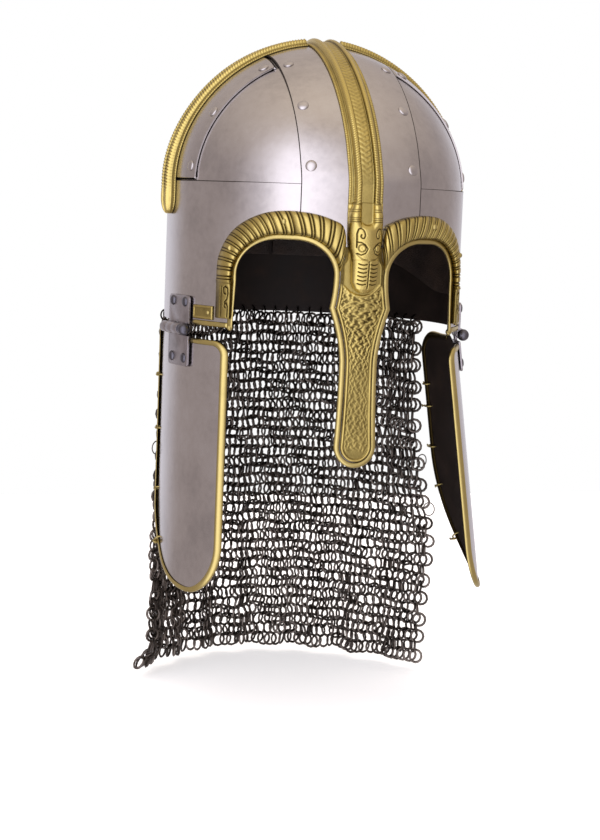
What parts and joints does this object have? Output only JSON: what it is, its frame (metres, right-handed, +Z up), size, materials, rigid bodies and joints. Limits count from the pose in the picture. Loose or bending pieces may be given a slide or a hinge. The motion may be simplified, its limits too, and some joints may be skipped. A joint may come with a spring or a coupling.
{
  "type": "spangen helmet with nasal, cheek pieces and mail curtain",
  "caption": "Steel spangen helmet with brass crest strips, ribbed eyebrows and a long nasal, two hinged cheek pieces and a mail curtain round the back of the neck.",
  "frame": {"origin": "centre of the brow band's lower rim, in the plane of the rim", "axes": "+Z up along the head, -Y the way the wearer looks, +X to the wearer's left"},
  "size_m": [0.2417, 0.2617, 0.4684],
  "materials": {
    "polished_steel": "satin polish",
    "brass": "antiqued, dark in the recesses",
    "dark_steel": "forged and darkened",
    "mail": "oiled, dark",
    "leather": "plain, dark"
  },
  "bodies": {
    "skull": {"brow_band": "polished_steel", "nose_to_nape_band": "polished_steel", "lateral_band_left": "polished_steel", "lateral_band_right": "polished_steel", "infill_front_left": "polished_steel", "infill_front_right": "polished_steel", "infill_rear_left": "polished_steel", "infill_rear_right": "polished_steel", "crest_long": "brass", "crest_left": "brass", "crest_right": "brass", "beast_head": "brass", "nasal_panel": "brass", "eyebrow_left": "brass", "eyebrow_right": "brass", "eye_binding": "brass", "rim_binding_left": "brass", "rim_binding_right": "brass", "rim_strip_left": "brass", "rim_strip_right": "brass", "skull_rivets": "polished_steel", "brass_rivets": "brass", "hinge_upper_left": "dark_steel", "hinge_upper_right": "dark_steel", "hinge_pin_left": "dark_steel", "hinge_pin_right": "dark_steel", "upper_hinge_rivets": "dark_steel", "mail_curtain": "mail", "mail_hangers": "mail", "liner_headband": "leather", "liner_petals": "leather", "liner_lace": "leather"},
    "cheek_left": {"hinge_lower_left": "dark_steel", "cheek_plate_left": "polished_steel", "cheek_binding_left": "brass", "cheek_ties_left": "brass", "cheek_rivets_left": "dark_steel"},
    "cheek_right": {"hinge_lower_right": "dark_steel", "cheek_plate_right": "polished_steel", "cheek_binding_right": "brass", "cheek_ties_right": "brass", "cheek_rivets_right": "dark_steel"}
  },
  "joints": [
    {"name": "cheek_left_hinge", "type": "hinge", "parent": "skull", "child": "cheek_left", "pos_m": [0.10492, -0.0299, -0.0046], "axis": [-0.2112, -0.9774, 0], "range_deg": [-13, 82]},
    {"name": "cheek_right_hinge", "type": "hinge", "parent": "skull", "child": "cheek_right", "pos_m": [-0.10492, -0.0299, -0.0046], "axis": [-0.2112, 0.9774, 0], "range_deg": [-5, 90]}
  ]
}
